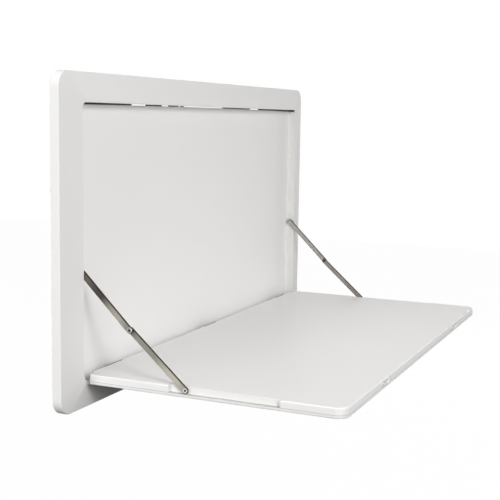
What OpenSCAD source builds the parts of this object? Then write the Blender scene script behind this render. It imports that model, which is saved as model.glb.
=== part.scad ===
// Fold-down table in a wall frame: the table drops from a shallow recess and hangs on two folding stays.
// Frame: X runs along the wall, the wall is the plane Y = 0, the room is towards -Y, Z is up.
// The origin is the middle of the frame's back, and the table is drawn open.

/* [Wall frame] */
// Width of the frame
frame_w = 940; // [900:1:1000]
// Height of the frame
frame_h = 500; // [480:1:540]
// Depth of the frame at its outer rim
rim_depth = 15; // [12:0.5:18]
// Depth of the frame at the lip of the opening
lip_depth = 22.4; // [21.4:0.1:26]
// Wall thickness of the frame moulding
frame_wall = 3; // [2.5:0.1:4]
// Radius of the frame's outer corners
corner_r = 24; // [18:1:30]
// Rounding where the rim meets the face
rim_round = 2; // [1:0.5:3]
// Width of the border left and right of the opening
border_side = 50; // [46:1:60]
// Width of the border above and below the opening
border_end = 44; // [42:1:55]
// Radius of the opening's corners
opening_r = 8; // [4:1:12]

/* [Back panel] */
// Depth of the recess, from the lip to the panel
recess_depth = 16.4; // [16:0.1:17]
// Thickness of the panel
panel_t = 3; // [2:0.5:3.5]
// Height of the slot above the panel at its ends
slot_h = 3.5; // [3:0.1:6]
// How much higher the panel's top edge is in its middle
panel_crown = 2; // [1:0.1:2.5]
// How far the panel reaches behind the frame
panel_lap = 12; // [10:1:14]
// Thickness of the ribs behind the panel
rib_t = 2; // [1.5:0.5:3]
// Radius of the bearing pad in the middle of the back
pad_r = 30; // [20:1:40]
// Thickness of the rail behind the slot
rail_t = 1.5; // [1:0.5:2]
// Height of the rail behind the slot
rail_h = 24; // [20:1:28]

/* [Table] */
// Gap between the table and the opening, left and right
side_gap = 2.5; // [2:0.1:3]
// Length of the table from its hinged edge to its front edge
table_len = 407.6; // [380:0.1:408]
// Thickness of the table
table_t = 15.5; // [15:0.1:15.8]
// Height of the base shell's edge
base_h = 4.6; // [4.4:0.1:4.7]
// Thickness of the base shell's floor
base_t = 2.6; // [2:0.1:3]
// Thickness of the top shell's skin
top_skin = 3; // [2:0.1:4]
// Thickness of the top shell's edge beside a channel
edge_wall = 3; // [2:0.1:4]
// Radius of the table's front corners
front_r = 18; // [12:1:24]
// Radius of the table's rear corners
rear_r = 8; // [4:1:10]
// Rounding of the table's upper edge
top_round = 2.5; // [1.5:0.5:3]
// Rounding of the table's lower edge
base_round = 1.5; // [1:0.5:2]

/* [Hinges] */
// Distance of the outer hinges from the table's sides
hinge_in = 77.5; // [60:0.5:110]
// Width of one hinge
hinge_w = 50; // [44:1:56]
// Width of the table leaf's knuckle
knuckle_w = 24; // [18:1:28]
// Radius of the knuckles
knuckle_r = 3; // [2.8:0.1:3]
// Radius of the hinge pin
pin_r = 1.5; // [1.2:0.1:1.6]
// Length of a table leaf behind the hinge axis
leaf_len = 28; // [24:1:32]
// How far the hinge axis lies below the opening's edge
axis_below = 1.05; // [0.8:0.05:1.2]
// Running clearance of pins and rivets, all round
running = 0.05; // [0.03:0.01:0.08]

/* [Folding stays] */
// Distance of a stay's pivots from the hinge axis
pivot_reach = 169; // [160:1:175]
// Width of the stay's arms
arm_w = 9.5; // [9:0.1:9.7]
// Thickness of the stay's arms
arm_t = 2.5; // [2:0.1:2.6]
// How far the middle joint hangs below the straight line
stay_sag = 3; // [2:0.5:5]
// Gap between the two arms of a stay
arm_gap = 0.4; // [0.3:0.1:0.5]
// Thickness of the washer between frame and arm
wall_washer_t = 1.4; // [1.3:0.1:1.5]
// Thickness of the washer between arm and table
table_washer_t = 1.2; // [1:0.1:1.3]
// Radius of the stay's rivets and studs
stay_pin_r = 2.2; // [1.8:0.1:2.3]
// Radius of the flush heads on studs and table rivets
flush_head_r = 3.5; // [3.2:0.1:3.6]
// Radius of the middle rivet's head
rivet_head_r = 4.6; // [4:0.1:4.7]
// Start of the channel in the table's side, from the hinge axis
channel_start = 142.5; // [130:0.5:145]
// End of the channel in the table's side, from the hinge axis
channel_end = 316; // [305:1:330]

/* [Latches] */
// Distance of the latches from the table's sides
latch_in = 189.5; // [180:0.5:210]
// Width of a latch housing
latch_w = 46; // [42:1:50]
// Height of a latch housing
latch_h = 7.3; // [7:0.1:7.4]
// Length of a latch housing
latch_len = 34; // [32:1:38]
// Width of the bolt's nose
nose_w = 16; // [14:1:20]
// Height of the bolt
bolt_h = 4.7; // [4.4:0.1:4.8]
// How far the nose stands out of the table's edge
nose_out = 3.6; // [3.2:0.1:4]
// Travel of the bolt
bolt_travel = 4; // [3.5:0.1:4.5]
// Turns of the latch spring
spring_turns = 7; // [5:1:9]
// Outer radius of the latch spring
spring_r = 1.9; // [1.6:0.1:2]
// Radius of the latch spring's wire
wire_r = 0.25; // [0.2:0.05:0.3]

/* [Fasteners] */
// Thread core radius of the wall inserts
insert_bore_r = 2.1; // [1.6:0.1:2.5]
// Outer radius of the wall inserts
insert_r = 3.5; // [3:0.1:4]
// Length of the wall inserts
insert_len = 9; // [7:0.5:10]
// Inset of the wall inserts from the frame's sides
insert_in_x = 25; // [22:1:28]
// Inset of the wall inserts from the frame's top and bottom
insert_in_z = 22; // [20:1:24]
// Radius of the small screws
screw_r = 1.5; // [1.2:0.1:1.6]
// Head radius of the small screws
screw_head_r = 2.9; // [2.6:0.1:3.1]
// Head height of the small screws
screw_head_h = 1.4; // [1.2:0.1:1.5]

/* [Hidden] */

$fn = 48;
hull_fn = 32;
cut = 1;
film = 0.02;
clear = 0.3;
snug = 0.1;
screw_clear = 0.2;
thin_screw = 0.3;

// Opening and recess
opening_w = frame_w - 2 * border_side;
opening_h = frame_h - 2 * border_end;
opening_x = opening_w / 2;
opening_z = opening_h / 2;
panel_y = recess_depth - lip_depth;
panel_back_y = panel_y + panel_t;
panel_top_z = opening_z - slot_h;
panel_half = opening_x + panel_lap;
panel_steps = 8;
slot_lip = 3;
relief_slot_w = 40;
relief_gap_w = 7;
relief_gap_h = 7;
lip_land = 3;
rib_pitch_x = 120;
rib_pitch_z = 110;
rib_low_clear = 20;
rib_high_clear = 14;
rail_drop = 6;
rail_side = 6;
rail_end = 40;
rail_end_h = 14;
window_h = 8;
short_window_x = -139;
short_window_w = 25;
small_window_x = -87;
small_window_w = 8;
long_window_x = 8;
long_window_w = 160;
far_window_x = 236;
far_window_w = 43;
screw_depth = 9;
panel_screw_reach = 10;
rail_screw_reach = 8;

// Hinge axis, which lies inside the lip so that the closed table is flush with it
axis_in = knuckle_r + running;
axis_y = axis_in - lip_depth;
axis_z = -opening_z - axis_below;

// Table
table_x = opening_x - side_gap;
hinge_x = table_x - hinge_in;
hinge_places = [-hinge_x, 0, hinge_x];
rear_gap = 0.4;
cheek_gap = 0.4;
seat_drop = 11;
seat_in = 3.5;
seat_clear = 0.5;
block_back_y = -1.2;
block_rise = 5.7;
block_screw_in = 6;
block_screw_drop = 7;
block_screw_reach = 15;
leaf_screw_in = 8;
leaf_lap = 2;
leaf_rise_t = 3;
leaf_rise_clear = 0.3;
notch_side = 1;
notch_in = 3.2;
relief_w = 13;
relief_in = 7.5;
pad = 2;
table_rear_y = axis_y - knuckle_r - rear_gap;
table_front_y = table_rear_y - table_len;
base_z = axis_z - axis_in;
part_z = base_z + base_h;
top_z = base_z + table_t;

// Folding stays, as points in the Y-Z plane
ledge_clear = 0.45;
pivot_off = base_h + ledge_clear + arm_w / 2 - axis_in;
wall_pivot = [axis_y + pivot_off, axis_z + pivot_reach];
table_pivot = [axis_y - pivot_reach, axis_z + pivot_off];
span = norm(table_pivot - wall_pivot);
along = (table_pivot - wall_pivot) / span;
below = [-along[1], along[0]];
mid_pivot = (wall_pivot + table_pivot) / 2 + stay_sag * below;
upper_out = opening_x - wall_washer_t;
upper_in = upper_out - arm_t;
lower_out = upper_in - arm_gap;
lower_in = lower_out - arm_t;
channel_x = lower_in - table_washer_t;
head_in_arm = 1.2;
rivet_head_h = 1;
tail_h = 0.6;
head_clear = 0.1;
shank_r = stay_pin_r - thin_screw;
stay_boss_r = 5.5;
boss_out = 14;
stud_end = 3;
rivet_dimple_r = 1.6;

// Latches
latch_x = table_x - latch_in;
latch_places = [-latch_x, latch_x];
latch_z0 = part_z + snug;
bolt_lower = 0.4;
nose_len = 6.5;
bolt_len = 9;
spring_wall = 3;
latch_z = latch_z0 + latch_h / 2 - bolt_lower;
latch_rear_y = table_front_y + latch_len;
nose_r = bolt_h / 2;
nose_y = table_front_y - nose_out + nose_r;
bolt_front_y = table_front_y + nose_len;
bolt_rear_y = bolt_front_y + bolt_len;
bolt_side = 3;
bolt_play = 0.2;
bezel = 0.9;
pocket_depth = 3;
housing_sunk = 0.4;
spring_bore_len = 4;
spring_rear_y = latch_rear_y - spring_wall;
closed_nose_y = axis_y + latch_z - axis_z;
strike_w = 28;
strike_half = 4;
flange_t = 1.2;
flange_side = 5;
strike_clear = 0.7;

// Fastener places
insert_x = frame_w / 2 - insert_in_x;
insert_z = frame_h / 2 - insert_in_z;
insert_places = [for (x = [-insert_x, 0, insert_x], z = [-insert_z, insert_z]) [x, z]];
panel_screw_in = 7;
row_in = 48;
side_screws = [for (x = [-1, 1], z = [-0.72, 0, 0.72]) [x * (opening_x + panel_screw_in), z * opening_z]];
foot_screws = [for (x = [-0.5, 0.5]) [x * hinge_x, -opening_z - panel_screw_in]];
panel_screw_places = concat(side_screws, foot_screws);
rail_windows = [
    [-latch_x, latch_w],
    [short_window_x, short_window_w],
    [small_window_x, small_window_w],
    [long_window_x, long_window_w],
    [far_window_x, far_window_w]
];
rail_screw_places = [for (x = [-0.94, -0.3, 0.3, 0.94]) [x * opening_x, opening_z + panel_screw_in]];
table_mid_y = (table_front_y + table_rear_y) / 2;
table_rows = [table_front_y + row_in, table_mid_y, table_rear_y - row_in];
leaf_screw_y = axis_y - leaf_len + leaf_screw_in;
function block_screw_place(x, dx) = [x + dx * (hinge_w / 2 - block_screw_in), axis_z - block_screw_drop];
function leaf_screw_place(x, dx) = [x + dx * (hinge_w / 2 - leaf_screw_in), leaf_screw_y];
table_screw_places = [for (x = [-0.9, -0.45, 0, 0.45, 0.9], y = table_rows) [x * table_x, y]];
boss_r = 3.8;
insert_boss_wall = 2.5;
insert_sunk = 0.2;
hollow_in = 10;
table_screw_reach = 8;
leaf_screw_reach = 7;
leaf_screw_bore = 6;

// Places what is drawn on the right side on the left too when side is -1
module on_side(side) {
    if (side < 0) mirror([1, 0, 0]) children();
    else children();
}

// Rectangle with round corners, about the origin
module rounded_rect(w, h, r) {
    square([w - 2 * r, h], center = true);
    square([w, h - 2 * r], center = true);
    for (x = [-1, 1], z = [-1, 1])
        translate([x * (w / 2 - r), z * (h / 2 - r)]) circle(r = r);
}

// Straight bar with round ends between two points
module bar_outline(a, b, w) {
    run = b - a;
    translate(a) circle(d = w);
    translate(b) circle(d = w);
    translate(a) rotate(atan2(run[1], run[0])) translate([0, -w / 2]) square([norm(run), w]);
}

// A shape drawn in X and Z, made solid from y_front to y_back
module wall_plate(y_front, y_back) {
    translate([0, y_back, 0]) rotate([90, 0, 0]) linear_extrude(y_back - y_front) children();
}

// A shape drawn in Y and Z, made solid from x_low to x_high
module side_plate(x_low, x_high) {
    translate([x_low, 0, 0]) rotate([90, 0, 90]) linear_extrude(x_high - x_low) children();
}

// Round bar along X through a point of the Y-Z plane
module cross_bar(point, r, x_low, x_high) {
    translate([x_low, point[0], point[1]]) rotate([0, 90, 0]) cylinder(r = r, h = x_high - x_low);
}

// Round bar along Y
module wall_bar(place, r, y_front, y_back) {
    translate([place[0], y_back, place[1]]) rotate([90, 0, 0]) cylinder(r = r, h = y_back - y_front);
}

// Round bar along Z
module post(place, r, z_low, z_high) {
    translate([place[0], place[1], z_low]) cylinder(r = r, h = z_high - z_low);
}

// Box from its low corner to its high corner
module block(low, high) {
    translate(low) cube(high - low);
}

// Body of the frame moulding, or its inside when inset is the wall thickness
module frame_body(inset) {
    hull() {
        wall_plate(rim_round - rim_depth + inset, inset > 0 ? cut : 0)
            rounded_rect(frame_w - 2 * inset, frame_h - 2 * inset, corner_r - inset, $fn = hull_fn);
        for (a = [45, 90])
            translate([0, rim_round * (1 - sin(a)) - rim_depth + inset, 0])
                wall_plate(0, film)
                    rounded_rect(
                        frame_w - 2 * (inset + rim_round * (1 - cos(a))),
                        frame_h - 2 * (inset + rim_round * (1 - cos(a))),
                        corner_r - inset - rim_round * (1 - cos(a)),
                        $fn = hull_fn
                    );
        wall_plate(inset - lip_depth, inset - lip_depth + film)
            rounded_rect(
                opening_w + 2 * lip_land,
                opening_h + 2 * lip_land,
                opening_r + lip_land,
                $fn = hull_fn
            );
    }
}

// What stays solid inside the frame's hollow
module frame_supports() {
    wall_plate(-lip_depth, panel_y)
        rounded_rect(opening_w + 2 * frame_wall, opening_h + 2 * frame_wall, opening_r + frame_wall);
    for (p = insert_places) wall_bar(p, insert_r + insert_boss_wall, -lip_depth, 0);
    for (p = panel_screw_places) wall_bar(p, boss_r, -lip_depth, panel_y);
    for (p = rail_screw_places) wall_bar(p, boss_r, -lip_depth, panel_back_y);
    for (side = [-1, 1]) on_side(side) cross_bar(wall_pivot, stay_boss_r, opening_x, opening_x + boss_out);
    for (x = hinge_places)
        block(
            [x - hinge_w / 2, -lip_depth, axis_z - seat_drop],
            [x + hinge_w / 2, axis_y + seat_in, axis_z - knuckle_r - seat_clear]
        );
}

module wall_frame() {
    color("white") difference() {
        frame_body(0);
        wall_plate(-lip_depth - cut, cut) rounded_rect(opening_w, opening_h, opening_r);
        difference() {
            frame_body(frame_wall);
            frame_supports();
        }
        for (side = [-1, 1]) on_side(side) {
            // The slot above the panel runs on through the side walls, behind the lip
            block(
                [opening_x - opening_r, slot_lip - lip_depth, panel_top_z],
                [opening_x + frame_wall + cut, panel_y, opening_z]
            );
            // Relief slot in the lower wall, behind the lip, with a gap in the lip at the table's corner
            block(
                [opening_x - relief_slot_w, slot_lip - lip_depth, -opening_z - frame_wall - cut],
                [opening_x, panel_y, opening_r - opening_z]
            );
            block(
                [table_x - relief_w, -lip_depth - cut, -opening_z - relief_gap_h],
                [table_x - relief_w + relief_gap_w, slot_lip - lip_depth + cut, cut - opening_z]
            );
        }
        for (p = insert_places) wall_bar(p, insert_r + running, -insert_len - cut, cut);
        for (p = panel_screw_places) wall_bar(p, screw_r + running, panel_y - screw_depth, 0);
        for (p = rail_screw_places) wall_bar(p, screw_r + running, panel_back_y - screw_depth, 0);
        for (side = [-1, 1]) on_side(side)
            cross_bar(wall_pivot, shank_r + running, opening_x - cut, opening_x + boss_out - stud_end / 2);
        for (x = hinge_places) {
            block(
                [x - hinge_w / 2 - clear, -lip_depth - cut, axis_z - knuckle_r - seat_clear],
                [x + hinge_w / 2 + clear, cut, -opening_z + cut]
            );
            for (dx = [-1, 1])
                wall_bar(block_screw_place(x, dx), screw_r + running, axis_y - 1, 0);
        }
        for (x = latch_places)
            block(
                [x - strike_w / 2 - snug, closed_nose_y - strike_half - snug, opening_z - cut],
                [x + strike_w / 2 + snug, closed_nose_y + strike_half + snug, opening_z + frame_wall + cut]
            );
    }
}

// Height of the panel's crowned top edge at a share of its half width
function panel_top(share) = panel_top_z + panel_crown * (1 - share * share);

module back_panel() {
    low_z = -opening_z - panel_lap;
    crown = [for (k = [panel_steps:-1:-panel_steps])
        let (share = k / panel_steps) [share * panel_half, panel_top(share)]];
    color("whitesmoke") difference() {
        union() {
            wall_plate(panel_y, panel_back_y)
                polygon(concat([[-panel_half, low_z], [panel_half, low_z]], crown));
            for (x = [-3:1:3])
                block(
                    [x * rib_pitch_x - rib_t / 2, panel_back_y, low_z + rib_low_clear],
                    [x * rib_pitch_x + rib_t / 2, 0, panel_top_z - rib_high_clear]
                );
            for (z = [-1:1:1])
                block(
                    [-opening_x, panel_back_y, z * rib_pitch_z - rib_t / 2],
                    [opening_x, 0, z * rib_pitch_z + rib_t / 2]
                );
            wall_bar([0, 0], pad_r, panel_back_y, 0);
        }
        for (p = panel_screw_places) wall_bar(p, screw_r + screw_clear, panel_y - cut, 0);
        for (x = hinge_places)
            block(
                [x - hinge_w / 2 - clear, panel_y - cut, low_z - cut],
                [x + hinge_w / 2 + clear, panel_back_y + cut, clear - opening_z + block_rise]
            );
    }
}

module strike_rail() {
    rail_z0 = panel_top_z - rail_drop;
    color("dimgray") difference() {
        union() {
            block(
                [-opening_x - rail_side, panel_back_y, rail_z0],
                [opening_x + rail_side, panel_back_y + rail_t, rail_z0 + rail_h]
            );
            // Lower ends, which reach behind the slots in the side walls
            block(
                [-opening_x - rail_end, panel_back_y, rail_z0],
                [opening_x + rail_end, panel_back_y + rail_t, rail_z0 + rail_end_h]
            );
        }
        for (w = rail_windows)
            block(
                [w[0] - w[1] / 2, panel_back_y - cut, opening_z - slot_h / 2 - window_h / 2],
                [w[0] + w[1] / 2, cut, opening_z - slot_h / 2 + window_h / 2]
            );
        for (p = rail_screw_places) wall_bar(p, screw_r + screw_clear, panel_y - cut, cut);
    }
}

// Block that holds a hinge pin in the frame, about X = 0
module hinge_block() {
    half = hinge_w / 2;
    cheek_w = half - knuckle_w / 2 - cheek_gap;
    foot_z = axis_z - seat_drop;
    color("white") difference() {
        union() {
            for (x = [-half, half - cheek_w]) {
                cross_bar([axis_y, axis_z], knuckle_r, x, x + cheek_w);
                block([x, axis_y, axis_z - knuckle_r], [x + cheek_w, axis_y + seat_in + film, axis_z]);
            }
            block([-half, axis_y + seat_in, foot_z], [half, block_back_y, axis_z]);
            block([-half, panel_y + seat_clear, foot_z], [half, block_back_y, block_rise - opening_z]);
        }
        cross_bar([axis_y, axis_z], pin_r + running, -half - cut, half + cut);
        for (dx = [-1, 1]) {
            wall_bar(block_screw_place(0, dx), screw_r + screw_clear, axis_y, 0);
            wall_bar(
                block_screw_place(0, dx),
                screw_head_r + screw_clear,
                block_back_y - screw_head_h - screw_clear,
                0
            );
        }
    }
}

module hinge_pins() {
    color("silver") for (x = hinge_places)
        cross_bar([axis_y, axis_z], pin_r, x - hinge_w / 2, x + hinge_w / 2);
}

// Small screw that points to the front, with its head's back at y_head
module wall_screw(place, y_head, reach) {
    wall_bar(place, screw_head_r, y_head - screw_head_h, y_head);
    wall_bar(place, screw_r, y_head - screw_head_h - reach, y_head - screw_head_h / 2);
}

module panel_screws() {
    color("silver") for (p = panel_screw_places)
        wall_screw(p, panel_back_y + screw_head_h, panel_screw_reach);
}

module rail_screws() {
    color("silver") for (p = rail_screw_places)
        wall_screw(p, panel_back_y + rail_t + screw_head_h, rail_screw_reach);
}

module hinge_block_screws() {
    color("silver") for (x = hinge_places, dx = [-1, 1])
        wall_screw(block_screw_place(x, dx), block_back_y - screw_clear, block_screw_reach);
}

module threaded_inserts() {
    color("gold") for (p = insert_places) difference() {
        wall_bar(p, insert_r, -insert_len, -insert_sunk);
        wall_bar(p, insert_bore_r, -insert_len - cut, cut);
    }
}

// Keeper in the top of the opening for the latch at X = 0
module strike() {
    half = strike_w / 2;
    flange_z = opening_z + frame_wall + flange_t;
    color("silver") difference() {
        union() {
            block(
                [-half, closed_nose_y - strike_half, opening_z + insert_sunk],
                [half, closed_nose_y + strike_half, opening_z + frame_wall]
            );
            block(
                [-half - flange_side, closed_nose_y - strike_half - seat_clear, opening_z + frame_wall],
                [half + flange_side, closed_nose_y + strike_half + seat_clear, flange_z]
            );
        }
        block(
            [-nose_w / 2 - 1, closed_nose_y - nose_r - strike_clear, opening_z - cut],
            [nose_w / 2 + 1, closed_nose_y + nose_r + strike_clear, flange_z + cut]
        );
    }
}

module stay_stud(side) {
    color("silver") on_side(side) {
        cross_bar(wall_pivot, flush_head_r, upper_in + head_clear, upper_in + head_in_arm - head_clear);
        cross_bar(wall_pivot, stay_pin_r, upper_in + head_in_arm / 2, opening_x);
        cross_bar(wall_pivot, shank_r, opening_x - seat_clear, opening_x + boss_out - stud_end);
    }
}

module wall_washer(side) {
    color("silver") on_side(side) difference() {
        cross_bar(wall_pivot, arm_w / 2, upper_out + running, opening_x);
        cross_bar(wall_pivot, stay_pin_r + running, upper_out - cut, opening_x + cut);
    }
}

module upper_arm(side) {
    color("darkgray") on_side(side) difference() {
        side_plate(upper_in, upper_out) bar_outline(wall_pivot, mid_pivot, arm_w);
        cross_bar(wall_pivot, stay_pin_r + running, upper_in - cut, upper_out + cut);
        cross_bar(wall_pivot, flush_head_r + head_clear, upper_in - cut, upper_in + head_in_arm);
        cross_bar(mid_pivot, stay_pin_r + running, upper_in - cut, upper_out + cut);
    }
}

module lower_arm(side) {
    color("darkgray") on_side(side) difference() {
        side_plate(lower_in, lower_out) bar_outline(mid_pivot, table_pivot, arm_w);
        cross_bar(table_pivot, stay_pin_r + running, lower_in - cut, lower_out + cut);
        cross_bar(table_pivot, flush_head_r + head_clear, lower_out - head_in_arm, lower_out + cut);
        cross_bar(mid_pivot, stay_pin_r + running, lower_in - cut, lower_out + cut);
    }
}

module middle_rivet(side) {
    color("silver") on_side(side) difference() {
        union() {
            cross_bar(mid_pivot, rivet_head_r, upper_out, upper_out + rivet_head_h);
            cross_bar(mid_pivot, stay_pin_r, upper_in, upper_out + rivet_head_h / 2);
        }
        cross_bar(mid_pivot, rivet_dimple_r, upper_out, upper_out + cut + rivet_head_h);
    }
}

module rivet_tail(side) {
    color("silver") on_side(side) {
        cross_bar(mid_pivot, stay_pin_r, lower_in - tail_h / 2, lower_out);
        cross_bar(mid_pivot, flush_head_r, lower_in - tail_h, lower_in);
    }
}

module table_rivet(side) {
    color("silver") on_side(side) difference() {
        union() {
            cross_bar(
                table_pivot,
                flush_head_r,
                lower_out - head_in_arm + head_clear,
                lower_out - head_clear
            );
            cross_bar(table_pivot, stay_pin_r, channel_x, lower_out - head_in_arm / 2);
            cross_bar(table_pivot, shank_r, channel_x - edge_wall, channel_x + seat_clear);
        }
        cross_bar(table_pivot, rivet_dimple_r, lower_out - head_in_arm / 2, lower_out + cut);
    }
}

module table_washer(side) {
    color("silver") on_side(side) difference() {
        cross_bar(table_pivot, arm_w / 2 - screw_clear, channel_x, lower_in - running);
        cross_bar(table_pivot, stay_pin_r + running, channel_x - cut, lower_in + cut);
    }
}

// Outline of the table, drawn in X and Y and drawn in by inset
module table_outline(inset) {
    side = table_x - inset;
    rear = table_rear_y - inset;
    front = table_front_y + inset;
    rf = front_r - inset;
    rr = rear_r - inset;
    translate([-side + rf, front]) square([2 * (side - rf), rear - front]);
    translate([-side, front + rf]) square([2 * side, rear - front - rf - rr]);
    translate([-side + rr, rear - rr - cut]) square([2 * (side - rr), rr + cut]);
    for (x = [-1, 1]) {
        translate([x * (side - rf), front + rf]) circle(r = rf);
        translate([x * (side - rr), rear - rr]) circle(r = rr);
    }
}

// Slab of the table's outline with a rounded upper or lower edge
module table_slab(z_low, z_high, round_low, round_high) {
    hull() {
        translate([0, 0, z_low + round_low]) linear_extrude(z_high - z_low - round_low - round_high)
            table_outline(0, $fn = hull_fn);
        for (a = [30, 60, 90]) {
            if (round_high > 0)
                translate([0, 0, z_high - round_high * (1 - sin(a)) - film]) linear_extrude(film)
                    table_outline(round_high * (1 - cos(a)), $fn = hull_fn);
            if (round_low > 0)
                translate([0, 0, z_low + round_low * (1 - sin(a))]) linear_extrude(film)
                    table_outline(round_low * (1 - cos(a)), $fn = hull_fn);
        }
    }
}

// What is cut out of the table's rear corners, so that they pass the frame's round corners
module table_reliefs() {
    for (side = [-1, 1]) on_side(side)
        block(
            [table_x - relief_w, table_rear_y - relief_in, base_z - cut],
            [table_x + cut, table_rear_y + cut, top_z + cut]
        );
}

// Space inside the table shells between two heights
module table_hollow(z_low, z_high, grow) {
    block(
        [-channel_x + edge_wall - grow, table_front_y + hollow_in - grow, z_low],
        [channel_x - edge_wall + grow, table_rear_y - hollow_in + grow, z_high]
    );
}

module table_top() {
    color("white") difference() {
        table_slab(part_z, top_z, 0, top_round);
        difference() {
            table_hollow(part_z - cut, top_z - top_skin, 0);
            for (p = table_screw_places) post(p, boss_r, base_z + base_t, top_z);
            for (x = latch_places)
                block(
                    [x - latch_w / 2 - edge_wall, table_front_y, part_z - cut],
                    [x + latch_w / 2 + edge_wall, latch_rear_y + edge_wall, top_z]
                );
            for (x = hinge_places)
                block(
                    [x - hinge_w / 2 - pad, axis_y - leaf_len - pad, part_z - cut],
                    [x + hinge_w / 2 + pad, table_rear_y, top_z]
                );
        }
        for (x = latch_places)
            block(
                [x - latch_w / 2 - snug, table_front_y - cut, part_z - cut],
                [x + latch_w / 2 + snug, latch_rear_y + snug, latch_z0 + latch_h + snug]
            );
        table_reliefs();
        for (side = [-1, 1]) on_side(side) {
            block(
                [channel_x, axis_y - channel_end, part_z - cut],
                [table_x + cut, axis_y - channel_start, top_z + cut]
            );
            cross_bar(table_pivot, shank_r + running, channel_x - edge_wall - cut, channel_x + cut);
        }
        for (x = hinge_places) {
            block(
                [x - hinge_w / 2 - notch_side, table_rear_y - notch_in, part_z - cut],
                [x + hinge_w / 2 + notch_side, table_rear_y + cut, top_z + cut]
            );
            for (dx = [-1, 1])
                post(leaf_screw_place(x, dx), screw_r + running, part_z - cut, part_z + leaf_screw_bore);
        }
        for (p = table_screw_places) post(p, screw_r + running, base_z, top_z - top_skin - 1);
    }
    color("white") for (p = table_screw_places) difference() {
        post(p, boss_r, base_z + base_t, part_z + film);
        post(p, screw_r + running, base_z, top_z - top_skin - 1);
    }
}

module table_base() {
    color("white") difference() {
        table_slab(base_z, part_z, base_round, 0);
        difference() {
            table_hollow(base_z + base_t, part_z + cut, 0);
            for (x = hinge_places)
                block(
                    [x - hinge_w / 2 - pad, axis_y - leaf_len - pad, base_z],
                    [x + hinge_w / 2 + pad, table_rear_y, part_z + 2 * cut]
                );
        }
        for (p = table_screw_places) {
            post(p, screw_r + screw_clear, base_z - cut, part_z - cut);
            post(p, screw_head_r + screw_clear, base_z - cut, base_z + screw_head_h + snug);
        }
        table_reliefs();
        for (x = hinge_places) {
            block(
                [x - hinge_w / 2 - snug, axis_y - leaf_len - snug, base_z - cut],
                [x + hinge_w / 2 + snug, table_rear_y + cut, axis_z + snug]
            );
            block(
                [x - hinge_w / 2 - notch_side, table_rear_y - notch_in, axis_z - snug],
                [x + hinge_w / 2 + notch_side, table_rear_y + cut, part_z + cut]
            );
            for (dx = [-1, 1]) post(leaf_screw_place(x, dx), screw_r + screw_clear, base_z, part_z + cut);
        }
    }
}

module table_core() {
    color("lightyellow") difference() {
        table_hollow(base_z + base_t + clear, top_z - top_skin - clear, -clear);
        for (p = table_screw_places) post(p, boss_r + clear, base_z, top_z);
        for (x = latch_places)
            block(
                [x - latch_w / 2 - edge_wall - clear, table_front_y, base_z],
                [x + latch_w / 2 + edge_wall + clear, latch_rear_y + edge_wall + clear, top_z]
            );
        for (x = hinge_places)
            block(
                [x - hinge_w / 2 - pad - clear, axis_y - leaf_len - pad - clear, base_z],
                [x + hinge_w / 2 + pad + clear, table_rear_y, top_z]
            );
    }
}

// Screw that points up, with its head's underside at z_head
module table_screw(place, z_head, reach) {
    post(place, screw_head_r, z_head, z_head + screw_head_h);
    post(place, screw_r, z_head + screw_head_h / 2, z_head + screw_head_h + reach);
}

module table_screws() {
    color("silver") for (p = table_screw_places) table_screw(p, base_z + snug, table_screw_reach);
}

// Leaf that joins the table to a hinge pin, about X = 0
module table_leaf() {
    half = hinge_w / 2;
    plate_z = axis_z - knuckle_r;
    color("dimgray") difference() {
        union() {
            cross_bar([axis_y, axis_z], knuckle_r, -knuckle_w / 2, knuckle_w / 2);
            block([-knuckle_w / 2, table_rear_y - leaf_lap, plate_z], [knuckle_w / 2, axis_y, axis_z]);
            block([-half, axis_y - leaf_len, plate_z], [half, table_rear_y - leaf_lap / 2, axis_z]);
            block([-half, table_rear_y - leaf_rise_t, plate_z], [half, table_rear_y, top_z - leaf_rise_clear]);
        }
        cross_bar([axis_y, axis_z], pin_r + running, -half, half);
        for (dx = [-1, 1]) {
            post(leaf_screw_place(0, dx), screw_r + screw_clear, plate_z - cut, axis_z + cut);
            post(
                leaf_screw_place(0, dx),
                screw_head_r + screw_clear,
                plate_z - cut,
                plate_z + screw_head_h + snug
            );
        }
    }
}

module table_leaf_screws() {
    color("silver") for (x = hinge_places, dx = [-1, 1])
        table_screw(leaf_screw_place(x, dx), axis_z - knuckle_r + snug, leaf_screw_reach);
}

// Housing of the latch at X = 0, open at the table's front edge
module latch_housing() {
    half = latch_w / 2;
    front = table_front_y + housing_sunk;
    wide = nose_w / 2 + bolt_side;
    color("gainsboro") difference() {
        block([-half, front, latch_z0], [half, latch_rear_y, latch_z0 + latch_h]);
        block(
            [bezel - half, front - cut, latch_z0 + bezel],
            [half - bezel, front + pocket_depth, latch_z0 + latch_h - bezel]
        );
        block(
            [-nose_w / 2 - bolt_play, front, latch_z - nose_r - bolt_play],
            [nose_w / 2 + bolt_play, bolt_front_y + cut, latch_z + nose_r + bolt_play]
        );
        block(
            [-wide - bolt_play, bolt_front_y - bolt_play, latch_z - nose_r - bolt_play],
            [wide + bolt_play, bolt_rear_y + bolt_travel + bolt_play, latch_z + nose_r + bolt_play]
        );
        wall_bar([0, latch_z], spring_r + bolt_play, bolt_rear_y, spring_rear_y);
    }
}

module latch_bolt() {
    color("white") difference() {
        union() {
            cross_bar([nose_y, latch_z], nose_r, -nose_w / 2, nose_w / 2);
            block([-nose_w / 2, nose_y, latch_z - nose_r], [nose_w / 2, bolt_front_y + 1, latch_z + nose_r]);
            block(
                [-nose_w / 2 - bolt_side, bolt_front_y, latch_z - nose_r],
                [nose_w / 2 + bolt_side, bolt_rear_y, latch_z + nose_r]
            );
        }
        wall_bar([0, latch_z], spring_r + bolt_play, bolt_rear_y - spring_bore_len, bolt_rear_y + cut);
    }
}

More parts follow.
